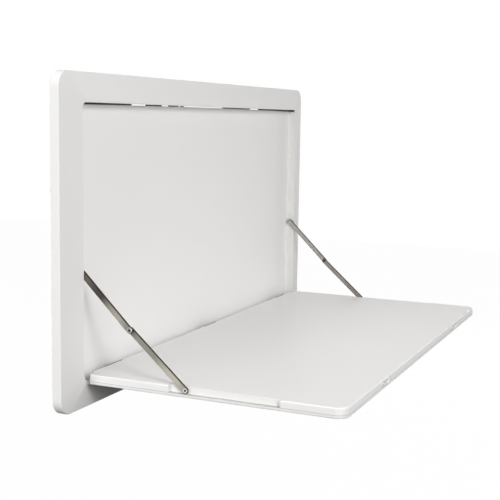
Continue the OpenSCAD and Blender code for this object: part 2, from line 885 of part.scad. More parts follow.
// Ring of the spring's wire at a fraction of its length, about the Y axis
function spring_ring(t, y0, y1, sides) = [
    for (k = [0:sides - 1])
        let (turn = 360 * spring_turns * t, a = 360 * k / sides, r = spring_r - wire_r + wire_r * cos(a))
            [r * cos(turn), y0 + wire_r + (y1 - y0 - 2 * wire_r) * t + wire_r * sin(a), r * sin(turn)]
];

// Coil spring along Y between two ends, as one unbroken tube
module coil_spring(y0, y1) {
    sides = 6;
    steps = spring_turns * 10;
    points = [for (i = [0:steps]) each spring_ring(i / steps, y0, y1, sides)];
    walls = [
        for (i = [0:steps - 1], k = [0:sides - 1])
            let (n = (k + 1) % sides, a = i * sides)
                each [[a + k, a + n, a + sides + n], [a + k, a + sides + n, a + sides + k]]
    ];
    first_cap = [for (k = [1:sides - 2]) [0, k + 1, k]];
    last = steps * sides;
    last_cap = [for (k = [1:sides - 2]) [last, last + k, last + k + 1]];
    polyhedron(points, concat(walls, first_cap, last_cap));
}

module latch_spring() {
    front = bolt_rear_y - spring_bore_len + head_clear;
    color("silver") translate([0, 0, latch_z]) coil_spring(front, spring_rear_y - head_clear);
}

wall_frame();
back_panel();
strike_rail();
translate([-hinge_x, 0, 0]) hinge_block();  // hinge_block_left
hinge_block();  // hinge_block_centre
translate([hinge_x, 0, 0]) hinge_block();  // hinge_block_right
hinge_pins();
panel_screws();
rail_screws();
hinge_block_screws();
threaded_inserts();
translate([-latch_x, 0, 0]) strike();  // left_strike
translate([latch_x, 0, 0]) strike();  // right_strike
stay_stud(-1);  // left_stay_stud
stay_stud(1);  // right_stay_stud
wall_washer(-1);  // left_wall_washer
wall_washer(1);  // right_wall_washer
upper_arm(-1);  // left_upper_arm
upper_arm(1);  // right_upper_arm
middle_rivet(-1);  // left_middle_rivet
middle_rivet(1);  // right_middle_rivet
lower_arm(-1);  // left_lower_arm
lower_arm(1);  // right_lower_arm
rivet_tail(-1);  // left_rivet_tail
rivet_tail(1);  // right_rivet_tail
table_rivet(-1);  // left_table_rivet
table_rivet(1);  // right_table_rivet
table_washer(-1);  // left_table_washer
table_washer(1);  // right_table_washer
table_top();
table_base();
table_core();
table_screws();
translate([-hinge_x, 0, 0]) table_leaf();  // table_leaf_left
table_leaf();  // table_leaf_centre
translate([hinge_x, 0, 0]) table_leaf();  // table_leaf_right
table_leaf_screws();
translate([-latch_x, 0, 0]) latch_housing();  // left_latch_housing
translate([latch_x, 0, 0]) latch_housing();  // right_latch_housing
translate([-latch_x, 0, 0]) latch_bolt();  // left_latch_bolt
translate([latch_x, 0, 0]) latch_bolt();  // right_latch_bolt
translate([-latch_x, 0, 0]) latch_spring();  // left_latch_spring
translate([latch_x, 0, 0]) latch_spring();  // right_latch_spring
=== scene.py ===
"""Looks for the fold-down table: finishes, softened edges and fine pieces on the fixed CAD frame.

Everything is in metres, in the CAD frame: X along the wall, the wall at Y = 0, the room towards -Y
and Z up. Names that end in _mm, and turned()'s outline, are in millimetres.
"""
from __future__ import annotations

import logging
import math
from dataclasses import dataclass
from enum import Enum

import bmesh
import bpy
from mathutils import Matrix, Vector


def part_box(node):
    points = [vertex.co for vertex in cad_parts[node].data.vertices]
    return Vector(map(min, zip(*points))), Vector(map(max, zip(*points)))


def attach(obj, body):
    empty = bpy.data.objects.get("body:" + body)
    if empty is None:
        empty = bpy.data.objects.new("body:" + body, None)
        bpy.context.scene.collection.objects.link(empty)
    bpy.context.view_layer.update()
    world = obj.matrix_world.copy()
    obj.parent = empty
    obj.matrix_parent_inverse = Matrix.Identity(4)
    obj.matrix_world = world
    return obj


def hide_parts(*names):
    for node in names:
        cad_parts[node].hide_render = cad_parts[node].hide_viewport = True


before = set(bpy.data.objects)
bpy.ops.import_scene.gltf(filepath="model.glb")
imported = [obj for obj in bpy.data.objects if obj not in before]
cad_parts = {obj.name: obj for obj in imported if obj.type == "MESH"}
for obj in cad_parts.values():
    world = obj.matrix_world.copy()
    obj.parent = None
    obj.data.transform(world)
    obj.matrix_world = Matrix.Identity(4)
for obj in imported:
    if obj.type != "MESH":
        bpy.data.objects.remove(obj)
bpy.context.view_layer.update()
LOG = logging.getLogger("fold_down_table")

MM = 0.001
Colour = tuple[float, float, float]
Stops = tuple[tuple[float, Colour], ...]
Point = tuple[float, float, float]
Outline = tuple[tuple[float, float], ...]
Sockets = dict[str | int, object]
Piece = bpy.types.Object

WHITE = (1.0, 1.0, 1.0)
MERGE_WITHIN = 0.002 * MM
WELD_WITHIN = 0.001 * MM
FLAT_WITHIN = math.radians(0.4)
TURNED_STEPS = 40
TURNED_SHARP = math.radians(50)
REPEATED_SHARP = math.radians(35)
FACE_WEIGHT = 80


class Side(Enum):
    """The two sides of the table, as the sign of X."""

    LEFT = -1
    RIGHT = 1

    @property
    def word(self) -> str:
        """Returns the word that the side's pieces start with."""
        return self.name.lower()


class HeadWay(Enum):
    """The way that a screw's head looks, as the turn that takes +Z there."""

    BACK = (-math.pi / 2, 0.0, 0.0)
    DOWN = (math.pi, 0.0, 0.0)


class Wire:
    """One value in a node tree, used in Python expressions that add the Math nodes."""

    def __init__(self, tree: NodeTree, socket: bpy.types.NodeSocket) -> None:
        """Keeps the socket and the tree that it lies in."""
        self.tree = tree
        self.socket = socket

    def __add__(self, other: Wire | float) -> Wire:
        """Returns the sum."""
        return self.tree.maths("ADD", self, other)

    __radd__ = __add__

    def __sub__(self, other: Wire | float) -> Wire:
        """Returns the difference."""
        return self.tree.maths("SUBTRACT", self, other)

    def __rsub__(self, other: Wire | float) -> Wire:
        """Returns the difference the other way round."""
        return self.tree.maths("SUBTRACT", other, self)

    def __mul__(self, other: Wire | float) -> Wire:
        """Returns the product."""
        return self.tree.maths("MULTIPLY", self, other)

    __rmul__ = __mul__

    def __abs__(self) -> Wire:
        """Returns the value without its sign."""
        return self.tree.maths("ABSOLUTE", self)

    def at_least(self, other: Wire | float) -> Wire:
        """Returns the larger of the two values."""
        return self.tree.maths("MAXIMUM", self, other)

    def limited(self) -> Wire:
        """Returns the value held between 0 and 1."""
        return self.tree.maths("MINIMUM", self, 1.0).at_least(0.0)

    def rise(self, width: float) -> Wire:
        """Returns 0 below zero, 1 above the width and an even slope between."""
        return (self * (1 / width)).limited()


class NodeTree:
    """A node tree, with one method that makes every kind of node in it."""

    def __init__(self, tree: bpy.types.NodeTree) -> None:
        """Takes over a material's, the world's or a modifier's node tree and empties it."""
        self.tree = tree
        self.tree.nodes.clear()

    def node(
        self, kind: str, sockets: Sockets | None = None, **settings: object
    ) -> bpy.types.Node:
        """Adds one node.

        Args:
            kind: The node's type.
            sockets: Values or wires for its inputs, by identifier, name or place, with a list
                of wires for an input that takes several.
            settings: Its settings, which are set first, with a ramp's stops as "stops".

        Returns:
            The new node.
        """
        made = self.tree.nodes.new(kind)
        for key, value in settings.items():
            if key == "stops":
                self._set_stops(made, value)
            else:
                setattr(made, key, value)
        for key, value in (sockets or {}).items():
            target = self._socket(made.inputs, key)
            wires = value if isinstance(value, list) else [value]
            if isinstance(wires[0], Wire):
                for wire in wires:
                    self.tree.links.new(wire.socket, target)
            else:
                target.default_value = value
        return made

    def wire(
        self, kind: str, output: str | int, sockets: Sockets | None = None, **settings: object
    ) -> Wire:
        """Adds one node as node() does, and returns the output with this name or place."""
        made = self.node(kind, sockets, **settings)
        return Wire(self, self._socket(made.outputs, output))

    def maths(self, operation: str, first: Wire | float, second: Wire | float = 0.0) -> Wire:
        """Adds a Math node and returns its result."""
        return self.wire("ShaderNodeMath", 0, {0: first, 1: second}, operation=operation)

    def blend(self, share: Wire | float, first: Colour | Wire, second: Colour | Wire) -> Wire:
        """Returns a mix of two colours, with this share of the second."""
        sockets = {"Factor_Float": share, "A_Color": rgba(first), "B_Color": rgba(second)}
        return self.wire("ShaderNodeMix", "Result_Color", sockets, data_type="RGBA")

    def spot(self) -> Wire:
        """Returns the place on the piece, in its own coordinates."""
        return self.wire("ShaderNodeTexCoord", "Object")

    def length(self, vector: Wire) -> Wire:
        """Returns the length of a vector."""
        return self.wire("ShaderNodeVectorMath", "Value", {0: vector}, operation="LENGTH")

    def bump(self, height: Wire, strength: float, depth: float, under: Wire | None = None) -> Wire:
        """Adds a bumpy surface.

        Args:
            height: The height, from 0 to 1.
            strength: How much of it shows.
            depth: How far it goes.
            under: The bumps that it comes on top of.

        Returns:
            The surface's direction.
        """
        sockets = {"Strength": strength, "Distance": depth, "Height": height}
        if under is not None:
            sockets["Normal"] = under
        return self.wire("ShaderNodeBump", 0, sockets)

    @staticmethod
    def _socket(group: bpy.types.bpy_prop_collection, key: str | int) -> bpy.types.NodeSocket:
        """Finds a socket.

        Args:
            group: A node's inputs or outputs.
            key: The socket's place, identifier or name.

        Returns:
            The socket.
        """
        for socket in group:
            if socket.identifier == key:
                return socket
        return group[key]

    @staticmethod
    def _set_stops(ramp: bpy.types.Node, stops: Stops) -> None:
        """Gives a ramp its stops.

        Args:
            ramp: The ramp's node.
            stops: Each stop's place and colour, from first to last.
        """
        elements = ramp.color_ramp.elements
        while len(elements) < len(stops):
            elements.new(1.0)
        for element, (place, colour) in zip(elements, stops):
            element.position = place
            element.color = rgba(colour)


def rgba(colour: Colour | Wire) -> tuple[float, ...] | Wire:
    """Returns a plain colour with its alpha, and a wire as it is."""
    return colour if isinstance(colour, Wire) else (*colour, 1.0)


@dataclass(frozen=True)
class Finish:
    """What every finish has: its name, the record's material slot, its colour and its roughness."""

    name: str
    slot: str
    colour: Colour
    roughness: float
    rough_spread: float = 0.1
    patch_size: float = 0.09
    patch_shade: float = 0.012
    seed: float = 0.0

    def noise(self, where: Wire, size: float, detail: float = 2.0) -> Wire:
        """Returns soft noise from 0 to 1, in patches of a size with some finer layers."""
        sockets = {"Vector": where, "W": self.seed, "Scale": 1 / size, "Detail": detail}
        return where.tree.wire("ShaderNodeTexNoise", 0, sockets, noise_dimensions="4D")

    def body(self, tree: NodeTree) -> Sockets:
        """Makes faint patches of tone and of roughness.

        Args:
            tree: The material's tree.

        Returns:
            The surface shader's inputs.
        """
        patches = self.noise(tree.spot(), self.patch_size)
        darker = tuple(part * (1 - 2 * self.patch_shade) for part in self.colour)
        spread = self.noise(tree.spot(), self.patch_size / 3) * self.rough_spread
        rough = spread + (self.roughness - self.rough_spread / 2)
        return {"Base Color": tree.blend(patches, darker, self.colour), "Roughness": rough}

    def material(self) -> bpy.types.Material:
        """Builds the material once and returns it each time.

        Returns:
            The material.
        """
        known = bpy.data.materials.get(self.name)
        if known is not None:
            return known
        made = bpy.data.materials.new(self.name)
        made.use_nodes = True
        tree = NodeTree(made.node_tree)
        surface = tree.wire("ShaderNodeBsdfPrincipled", 0, self.body(tree))
        tree.node("ShaderNodeOutputMaterial", {"Surface": surface})
        return made


@dataclass(frozen=True)
class MouldedPlastic(Finish):
    """Satin moulded plastic with a fine grain and a few faint rubs."""

    gloss: float = 0.5
    grain_size: float = 0.7 * MM
    grain_depth: float = 0.012 * MM
    grain_strength: float = 0.6
    wave_depth: float = 0.15 * MM
    wave_strength: float = 0.5
    rub_size: float = 14 * MM
    rub_turn: float = 0.6
    rub_stretch: float = 0.16
    rub_start: float = 0.62
    rub_rise: float = 1 / 6
    rub_rough: float = 0.06

    def body(self, tree: NodeTree) -> Sockets:
        """Adds grain, rubs and slow waves to the plain finish.

        Args:
            tree: The material's tree.

        Returns:
            The surface shader's inputs.
        """
        inputs = super().body(tree)
        grain = self.noise(tree.spot(), self.grain_size, detail=1.0)
        waves = self.noise(tree.spot(), self.patch_size, detail=0.0)
        fine = tree.bump(grain, self.grain_strength, self.grain_depth)
        turn = {"Rotation": (0.0, 0.0, self.rub_turn), "Scale": (1.0, self.rub_stretch, 1.0)}
        where = tree.wire("ShaderNodeMapping", 0, {0: tree.spot(), **turn})
        rubs = self.noise(where, self.rub_size, detail=4.0) - self.rub_start
        worn = rubs.rise(self.rub_rise) * self.rub_rough
        inputs["Roughness"] = (inputs["Roughness"] + worn).limited()
        inputs["Normal"] = tree.bump(waves, self.wave_strength, self.wave_depth, fine)
        inputs["Specular IOR Level"] = self.gloss
        return inputs


@dataclass(frozen=True)
class SeamedPlastic(MouldedPlastic):
    """Moulded plastic with painted shadow along the seam where two shells meet, at the top of the
    lower one.
    """

    lower_shell: str = "table_base"
    seam_half: float = 0.5 * MM
    seam_soft: float = 0.3 * MM
    seam_shade: float = 0.45
    seam_colour: Colour = (0.08, 0.075, 0.07)

    def body(self, tree: NodeTree) -> Sockets:
        """Adds the painted seam shadow to the moulded finish.

        Args:
            tree: The material's tree.

        Returns:
            The surface shader's inputs.
        """
        inputs = super().body(tree)
        height = tree.wire("ShaderNodeSeparateXYZ", "Z", {0: tree.spot()})
        # Painted shade: the colour darkens in a thin band at the seam's height, standing in for the
        # shadow in the parting line
        off = abs(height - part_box(self.lower_shell)[1].z)
        painted_seam_shadow = (self.seam_half - off).rise(self.seam_soft) * self.seam_shade
        inputs["Base Color"] = tree.blend(painted_seam_shadow, inputs["Base Color"], self.seam_colour)
        return inputs


@dataclass(frozen=True)
class Metal(Finish):
    """Bare or plated metal with faint mottling."""

    mottle: float = 0.12
    mottle_size: float = 2.2 * MM

    def body(self, tree: NodeTree) -> Sockets:
        """Adds the mottled plating to the plain finish.

        Args:
            tree: The material's tree.

        Returns:
            The surface shader's inputs.
        """
        inputs = super().body(tree)
        cloud = self.noise(tree.spot(), self.mottle_size, detail=3.0)
        dull = tuple(part * (1 - 2 * self.mottle) for part in self.colour)
        inputs["Base Color"] = tree.blend(cloud, dull, self.colour)
        inputs["Metallic"] = 1.0
        return inputs


@dataclass(frozen=True)
class BrushedBar(Metal):
    """Steel bar brushed along its length, with painted shade on its edges and slow bands of painted
    reflection.
    """

    node: str = ""
    half_width: float = 4.75 * MM
    bands: Stops = ()
    edge_colour: Colour = (0.03, 0.025, 0.02)
    rim: float = 0.45 * MM
    rim_soft: float = 0.3 * MM
    rim_shade: float = 0.65
    strip: float = 1.4 * MM
    strip_soft: float = 0.4 * MM
    strip_shade: float = 0.97
    streak_size: float = 0.35 * MM
    streak_length: float = 40.0
    streak_shade: float = 0.22
    streak_share: float = 0.6
    streak_rough: float = 0.18
    streak_rough_low: float = 0.08
    streak_strength: float = 0.5
    streak_depth: float = 0.01 * MM
    wide_size: float = 3.0 * MM

    def body(self, tree: NodeTree) -> Sockets:
        """Adds the painted reflection bands, the streaks and the painted edge shade to the plated
        finish.

        Args:
            tree: The material's tree.

        Returns:
            The surface shader's inputs.
        """
        inputs = super().body(tree)
        level, half_length = self._level(tree)
        run = tree.wire("ShaderNodeSeparateXYZ", "Y", {0: level})
        across = tree.wire("ShaderNodeSeparateXYZ", "Z", {0: level})
        place = run * (0.5 / (half_length + self.half_width)) + 0.5
        # Painted reflection: a ramp of light and dark tones along the bar stands in for highlights
        # and reflections on the steel
        tone = tree.wire("ShaderNodeValToRGB", "Color", {0: place}, stops=self.bands)
        stretched = {0: level, "Scale": (1.0, 1.0 / self.streak_length, 1.0)}
        where = tree.wire("ShaderNodeMapping", 0, stretched)
        streaks = self.noise(where, self.streak_size, detail=3.0)
        wide = self.noise(where, self.wide_size, detail=1.0)
        mixed = (streaks * self.streak_share + wide * self.streak_share).limited()
        tone = tree.blend(mixed * self.streak_shade, tone, self.edge_colour)
        # Painted shade: the narrow edges and a strip along the upper edge are darkened towards the
        # shade colour
        over = (abs(run) - half_length).at_least(0.0)
        out = tree.maths("SQRT", over * over + across * across)
        rim = (out - (self.half_width - self.rim)).rise(self.rim_soft)
        high = across.at_least((run + half_length) * -1.0)
        strip = (high - (self.half_width - self.strip)).rise(self.strip_soft)
        dark = (rim * self.rim_shade).at_least(strip * self.strip_shade)
        inputs["Base Color"] = tree.blend(dark, tone, self.edge_colour)
        rough_low = self.roughness - self.streak_rough_low
        inputs["Roughness"] = (streaks * self.streak_rough + rough_low).limited()
        inputs["Normal"] = tree.bump(streaks, self.streak_strength, self.streak_depth)
        return inputs

    def _level(self, tree: NodeTree) -> tuple[Wire, float]:
        """Adds coordinates with the bar's middle at the origin and the bar along Y.

        Args:
            tree: The material's tree.

        Returns:
            The coordinates, and how far the centre of a round end is from the middle.
        """
        low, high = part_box(self.node)
        middle = (low + high) / 2
        depth = high.y - middle.y - self.half_width
        height = high.z - middle.z - self.half_width
        turn = math.atan2(height, depth)
        run = math.cos(turn) * middle.y + math.sin(turn) * middle.z
        across = math.cos(turn) * middle.z - math.sin(turn) * middle.y
        level = {"Rotation": (-turn, 0.0, 0.0), "Location": (0.0, -run, -across)}
        where = tree.wire("ShaderNodeMapping", 0, {0: tree.spot(), **level})
        return where, math.hypot(depth, height)


@dataclass(frozen=True)
class HollowRivet(Metal):
    """Bright plated rivet with painted shade in its hollow end."""

    node: str = ""
    bore: float = 1.6 * MM
    bore_soft: float = 0.3 * MM
    bore_colour: Colour = (0.03, 0.027, 0.025)

    def body(self, tree: NodeTree) -> Sockets:
        """Adds painted shade in the hollow to the plated finish.

        Args:
            tree: The material's tree.

        Returns:
            The surface shader's inputs.
        """
        inputs = super().body(tree)
        low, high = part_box(self.node)
        place = (0.0, -(low.y + high.y) / 2, -(low.z + high.z) / 2)
        flat = {0: tree.spot(), "Scale": (0.0, 1.0, 1.0), "Location": place}
        out = tree.length(tree.wire("ShaderNodeMapping", 0, flat))
        # Painted shade: inside the bore's radius the colour goes near black, standing in for the
        # shade in the hollow
        bright = (out - self.bore).rise(self.bore_soft)
        inputs["Base Color"] = tree.blend(bright, self.bore_colour, inputs["Base Color"])
        return inputs


@dataclass(frozen=True)
class FoamCore(Finish):
    """Light foam with small closed cells."""

    cell_size: float = 1.6 * MM
    cell_depth: float = 0.3 * MM
    cell_strength: float = 0.8

    def body(self, tree: NodeTree) -> Sockets:
        """Adds the cells to the plain finish.

        Args:
            tree: The material's tree.

        Returns:
            The surface shader's inputs.
        """
        inputs = super().body(tree)
        sockets = {"Vector": tree.spot(), "Scale": 1 / self.cell_size}
        cells = tree.wire("ShaderNodeTexVoronoi", "Distance", sockets)
        inputs["Normal"] = tree.bump(cells, self.cell_strength, self.cell_depth)
        return inputs


FRAME_WHITE = MouldedPlastic("frame_white", "frame_plastic", (0.79, 0.783, 0.771), 0.42, gloss=0.05)
PANEL_WHITE = MouldedPlastic("panel_white", "panel_plastic", (0.803, 0.795, 0.783), 0.46, seed=3.0)
TABLE_WHITE = SeamedPlastic(
    "table_white", "table_plastic", (0.81, 0.803, 0.79), 0.40, seed=5.0, gloss=0.25
)
LATCH_WHITE = MouldedPlastic(
    "latch_white", "latch_plastic", (0.80, 0.80, 0.79), 0.34, patch_size=0.02, seed=7.0
)
# Painted shade: the slot rail is coloured near black to stand in for the shade in the hollow behind
# the slot
SHADE_DARK_PLASTIC = MouldedPlastic(
    "dark_plastic", "dark_plastic", (0.045, 0.042, 0.041), 0.5, patch_shade=0.1, seed=9.0, gloss=0.4
)
LEAF_PAINT = MouldedPlastic(
    "leaf_paint", "leaf_paint", (0.06, 0.058, 0.056), 0.4, patch_shade=0.1, seed=10.0
)
PLATED_STEEL = Metal("plated_steel", "pin_steel", (0.62, 0.61, 0.59), 0.34, seed=11.0)
SPRING_STEEL = Metal("spring_steel", "pin_steel", (0.55, 0.55, 0.56), 0.28, seed=12.0)
TURNED_BRASS = Metal("turned_brass", "insert_brass", (0.78, 0.58, 0.27), 0.3, seed=13.0)
WHITE_FOAM = FoamCore("white_foam", "core_foam", (0.86, 0.84, 0.74), 0.8, seed=15.0)
STAY_STEEL = (0.36, 0.345, 0.315)
BRIGHT_RIVET = (0.94, 0.93, 0.9)
DULL_RIVET = (0.5, 0.485, 0.46)
DARK_TAIL = (0.16, 0.15, 0.14)
# Painted reflection: each arm's light and dark tones along its length stand in for highlights and
# reflections on the steel
PAINTED_REFLECTION_BANDS = {
    (Side.LEFT, "upper"): (
        (0.10, (0.36, 0.345, 0.31)),
        (0.22, (0.52, 0.48, 0.43)),
        (0.38, (0.42, 0.39, 0.33)),
        (0.53, (0.10, 0.088, 0.08)),
        (0.66, (0.12, 0.10, 0.09)),
        (0.80, (0.25, 0.21, 0.18)),
    ),
    (Side.LEFT, "lower"): (
        (0.0, (0.46, 0.43, 0.385)),
        (0.20, (0.70, 0.645, 0.57)),
        (0.36, (0.62, 0.575, 0.50)),
        (0.55, (0.37, 0.355, 0.31)),
        (0.85, (0.37, 0.355, 0.32)),
        (0.95, (0.18, 0.165, 0.15)),
    ),
    (Side.RIGHT, "upper"): (
        (0.0, (0.48, 0.45, 0.415)),
        (0.5, (0.53, 0.51, 0.48)),
        (1.0, (0.64, 0.615, 0.58)),
    ),
    (Side.RIGHT, "lower"): (
        (0.0, (0.31, 0.29, 0.27)),
        (0.5, (0.43, 0.39, 0.35)),
        (1.0, (0.41, 0.37, 0.33)),
    ),
}


@dataclass(frozen=True)
class EdgeBreak:
    """How far a piece's sharp edges are rounded, in a band at its front and behind that."""

    width: float
    segments: int = 2
    sharp: float = math.radians(40)
    band: float = math.inf
    behind: float = 1.0

    def share(self, depth: float) -> float:
        """Returns the share of the width that an edge gets this far behind the front."""
        return 1.0 if depth < self.band else self.behind


def merged_mesh(node: str) -> bmesh.types.BMesh:
    """Copies a CAD node's mesh, joins its triangles and clears the cuts across its flat faces.

    Args:
        node: The CAD node's name.

    Returns:
        A new mesh in edit form, which the caller frees.
    """
    shape = bmesh.new()
    shape.from_mesh(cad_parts[node].data)
    bmesh.ops.remove_doubles(shape, verts=shape.verts, dist=MERGE_WITHIN)
    bmesh.ops.dissolve_limit(
        shape,
        angle_limit=FLAT_WITHIN,
        use_dissolve_boundaries=False,
        verts=shape.verts,
        edges=shape.edges,
    )
    return shape


def seats(node: str, way: HeadWay) -> tuple[list[Vector], Vector]:
    """Finds where the screws or inserts of a CAD node sit.

    Args:
        node: The CAD node's name.
        way: The way that their heads look.

    Returns:
        The middle of each head's outer face, and the size of one whole screw or insert.
    """
    shape = merged_mesh(node)
    seen = set()
    places = []
    for first in shape.verts:
        if first in seen:
            continue
        seen.add(first)
        found = [first]
        for vert in found:
            for edge in vert.link_edges:
                other = edge.other_vert(vert)
                if other not in seen:
                    seen.add(other)
                    found.append(other)
        low = Vector([min(vert.co[axis] for vert in found) for axis in range(3)])
        high = Vector([max(vert.co[axis] for vert in found) for axis in range(3)])
        middle = (low + high) / 2
        if way is HeadWay.BACK:
            middle.y = high.y
        else:
            middle.z = low.z
        places.append(middle)
    shape.free()
    return places, high - low


def linked(name: str, mesh: bpy.types.Mesh) -> Piece:
    """Puts a mesh into the scene as an object at the origin.

    Args:
        name: The object's name.
        mesh: Its mesh.

    Returns:
        The object.
    """
    made = bpy.data.objects.new(name, mesh)
    bpy.context.scene.collection.objects.link(made)
    return made


def smooth_piece(shape: bmesh.types.BMesh, name: str) -> Piece:
    """Turns a mesh in edit form into a smooth-shaded piece, and frees it.

    Args:
        shape: The mesh in edit form.
        name: The piece's name.

    Returns:
        The piece.
    """
    mesh = bpy.data.meshes.new(name)
    shape.to_mesh(mesh)
    shape.free()
    mesh.shade_smooth()
    return linked(name, mesh)


def plain(piece: Piece) -> Piece:
    """Turns a piece with modifiers into a plain mesh.

    Args:
        piece: The piece, whose modifiers are removed.

    Returns:
        The same piece.
    """
    bpy.context.view_layer.update()
    seen = piece.evaluated_get(bpy.context.evaluated_depsgraph_get())
    mesh = bpy.data.meshes.new_from_object(seen)
    piece.modifiers.clear()
    piece.data = mesh
    mesh.name = piece.name
    return piece


def dress(piece: Piece, finish: Finish, body: str, node: str) -> Piece:
    """Gives a piece its finish and its body, and hides the CAD node that it stands for.

    Args:
        piece: The finished piece.
        finish: Its finish.
        body: The CAD body that it rides on.
        node: The CAD node that it replaces.

    Returns:
        The same piece.
    """
    piece.data.materials.clear()
    piece.data.materials.append(finish.material())
    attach(piece, body)
    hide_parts(node)
    LOG.info("%s rides on %s and has %d faces", piece.name, body, len(piece.data.polygons))
    return piece


def softened(node: str, name: str, edge: EdgeBreak, finish: Finish, body: str) -> Piece:
    """Copies a CAD node, rounds its sharp edges and dresses it.

    Args:
        node: The CAD node's name.
        name: The new piece's name.
        edge: How its edges are rounded.
        finish: Its finish.
        body: The CAD body that it rides on.

    Returns:
        The new piece.
    """
    shape = merged_mesh(node)
    weight = shape.edges.layers.float.new("bevel_weight_edge")
    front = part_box(node)[0].y
    for line in shape.edges:
        if line.is_manifold and line.calc_face_angle(0.0) > edge.sharp:
            middle = (line.verts[0].co + line.verts[1].co) / 2
            line[weight] = edge.share(middle.y - front)
    piece = smooth_piece(shape, name)
    bevel = piece.modifiers.new("edges", "BEVEL")
    bevel.limit_method = "WEIGHT"
    bevel.width = edge.width
    bevel.segments = edge.segments
    bevel.use_clamp_overlap = True
    even = piece.modifiers.new("shading", "WEIGHTED_NORMAL")
    even.weight = FACE_WEIGHT
    return dress(plain(piece), finish, body, node)


def turned(name: str, outline: Outline, start: Vector, way: Vector) -> Piece:
    """Spins an outline round an axis, as on a lathe.

    Args:
        name: The piece's name.
        outline: Radius and height of each point, in mm, from the axis round to the axis again.
        start: The point of the axis at height 0.
        way: The axis, pointing to positive heights.

    Returns:
        The new piece.
    """
    shape = bmesh.new()
    points = [shape.verts.new(Vector((radius, 0, height)) * MM) for radius, height in outline]
    lines = [shape.edges.new(ends) for ends in zip(points, points[1:])]
    bmesh.ops.spin(
        shape,
        geom=points + lines,
        cent=(0, 0, 0),
        axis=(0, 0, 1),
        angle=math.tau,
        steps=TURNED_STEPS,
    )
    bmesh.ops.remove_doubles(shape, verts=shape.verts, dist=MERGE_WITHIN)
    bmesh.ops.recalc_face_normals(shape, faces=shape.faces)
    turn = Vector((0, 0, 1)).rotation_difference(way).to_matrix().to_4x4()
    shape.transform(Matrix.Translation(start) @ turn)
    piece = smooth_piece(shape, name)
    piece.data.set_sharp_from_angle(angle=TURNED_SHARP)
    return piece


class Pattern:
    """A geometry node tree that repeats one form at a list of places."""

    def __init__(self, name: str, way: HeadWay, finish: Finish, sizes: dict[str, float]) -> None:
        """Makes an empty tree with its named inputs.

        Args:
            name: The name of the piece that it makes.
            way: The turn that each form gets.
            finish: The forms' finish.
            sizes: The value of each named size.
        """
        self.name = name
        self.group = bpy.data.node_groups.new(name + "_tree", "GeometryNodeTree")
        face = self.group.interface
        face.new_socket("Geometry", in_out="INPUT", socket_type="NodeSocketGeometry")
        face.new_socket("Geometry", in_out="OUTPUT", socket_type="NodeSocketGeometry")
        kinds = {"Turn": "NodeSocketVector", "Finish": "NodeSocketMaterial"}
        values = {**sizes, "Turn": way.value, "Finish": finish.material()}
        self.values = {}
        for label, value in values.items():
            kind = kinds.get(label, "NodeSocketFloat")
            made = face.new_socket(label, in_out="INPUT", socket_type=kind)
            self.values[made.identifier] = value
        self.tree = NodeTree(self.group)
        self.inputs = self.tree.node("NodeGroupInput")

    def given(self, label: str) -> Wire:
        """Returns the wire of a named input."""
        return Wire(self.tree, self.inputs.outputs[label])

    def bar(self, radius: Wire, length: Wire, shift: Wire, sides: int) -> Wire:
        """Adds a round bar along Z that starts at a height.

        Args:
            radius: Its radius.
            length: Its length.
            shift: The height of its lower end.
            sides: How many sides it has.

        Returns:
            The bar.
        """
        sockets = {"Vertices": sides, "Radius": radius, "Depth": length}
        form = self.tree.wire("GeometryNodeMeshCylinder", "Mesh", sockets)
        return self.moved(form, length * 0.5 + shift)

    def block(self, *sizes: Wire) -> Wire:
        """Returns a block at the origin with these sizes along X, Y and Z."""
        size = self.tree.wire("ShaderNodeCombineXYZ", 0, dict(enumerate(sizes)))
        return self.tree.wire("GeometryNodeMeshCube", "Mesh", {"Size": size})

    def moved(self, form: Wire, height: Wire | float) -> Wire:
        """Returns a form moved up by a height."""
        up = self.tree.wire("ShaderNodeCombineXYZ", 0, {"Z": height})
        return self.tree.wire("GeometryNodeTransform", 0, {0: form, "Translation": up})

    def solid(self, operation: str, sockets: Sockets) -> Wire:
        """Returns overlapping forms as one solid, joined or with the second cut away."""
        kind = "GeometryNodeMeshBoolean"
        return self.tree.wire(kind, "Mesh", sockets, operation=operation, solver="EXACT")

    def placed(self, form: Wire, places: list[Vector]) -> Piece:
        """Puts the form at every place, gives it its material and runs the tree.

        Args:
            form: What is repeated.
            places: Where the copies go.

        Returns:
            A plain mesh piece.
        """
        turn = self.given("Turn")
        sockets = {"Points": self.given("Geometry"), "Instance": form, "Rotation": turn}
        many = self.tree.wire("GeometryNodeInstanceOnPoints", 0, sockets)
        real = self.tree.wire("GeometryNodeRealizeInstances", 0, {0: many})
        sockets = {"Geometry": real, "Material": self.given("Finish")}
        named = self.tree.wire("GeometryNodeSetMaterial", 0, sockets)
        self.tree.node("NodeGroupOutput", {"Geometry": named})
        mesh = bpy.data.meshes.new(self.name)
        mesh.from_pydata([tuple(place) for place in places], [], [])
        piece = linked(self.name, mesh)
        run = piece.modifiers.new("repeat", "NODES")
        run.node_group = self.group
        for key, value in self.values.items():
            run[key] = value
        plain(piece)
        shape = bmesh.new()
        shape.from_mesh(piece.data)
        bmesh.ops.remove_doubles(shape, verts=shape.verts, dist=WELD_WITHIN)
        bmesh.ops.recalc_face_normals(shape, faces=shape.faces)
        shape.to_mesh(piece.data)
        shape.free()
        piece.data.shade_smooth()
        piece.data.set_sharp_from_angle(angle=REPEATED_SHARP)
        return piece


